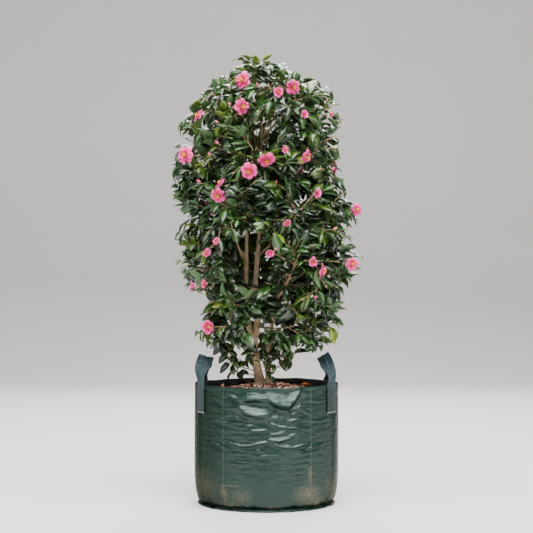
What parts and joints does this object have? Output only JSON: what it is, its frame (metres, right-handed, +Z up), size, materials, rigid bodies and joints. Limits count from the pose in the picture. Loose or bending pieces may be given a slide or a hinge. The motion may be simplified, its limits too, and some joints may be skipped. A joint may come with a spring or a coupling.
{
  "type": "camellia shrub in a planter bag",
  "caption": "Upright camellia shrub in pink flower, its forked trunk and second stem rooted in a filled woven planter bag with webbing lifting handles.",
  "frame": {"origin": "middle of the bag's flat underside, on the surface that it stands on", "axes": "+Z up along the bag's axis, -Y towards the front seen in the picture, +X to the right of it"},
  "size_m": [0.6696, 0.5899, 1.5638],
  "materials": {
    "bag_cloth": "laminated weave, satin",
    "webbing": "woven, matte",
    "potting_mix": "loose, matte",
    "bark": "smooth bark, matte",
    "foliage": "waxy leaf, satin"
  },
  "bodies": {
    "root": {"planter_bag": "bag_cloth", "potting_mix": "potting_mix", "handle_left": "webbing", "handle_right": "webbing", "trunk": "bark", "left_leader": "bark", "back_stem": "bark", "bough_skirt_left": "bark", "bough_skirt_right": "bark", "bough_low_left": "bark", "bough_low_front_right": "bark", "bough_low_right": "bark", "bough_low_back_left": "bark", "bough_middle_left": "bark", "bough_middle_right": "bark", "bough_middle_back": "bark", "bough_high_left": "bark", "bough_high_right": "bark", "bough_high_back_right": "bark", "bough_shoulder_front_right": "bark", "foliage_base_left": "foliage", "foliage_base_right": "foliage", "foliage_skirt_left": "foliage", "foliage_skirt_front_left": "foliage", "foliage_skirt_front_right": "foliage", "foliage_skirt_right": "foliage", "foliage_skirt_back": "foliage", "foliage_low_left": "foliage", "foliage_low_front_right": "foliage", "foliage_low_right": "foliage", "foliage_low_back_right": "foliage", "foliage_low_back_left": "foliage", "foliage_middle_left": "foliage", "foliage_middle_front_left": "foliage", "foliage_middle_front_right": "foliage", "foliage_middle_right": "foliage", "foliage_middle_back": "foliage", "foliage_high_left": "foliage", "foliage_high_front": "foliage", "foliage_high_right": "foliage", "foliage_high_back_right": "foliage", "foliage_high_back_left": "foliage", "foliage_shoulder_left": "foliage", "foliage_shoulder_front_right": "foliage", "foliage_shoulder_back": "foliage", "foliage_top_middle": "foliage"}
  },
  "joints": []
}
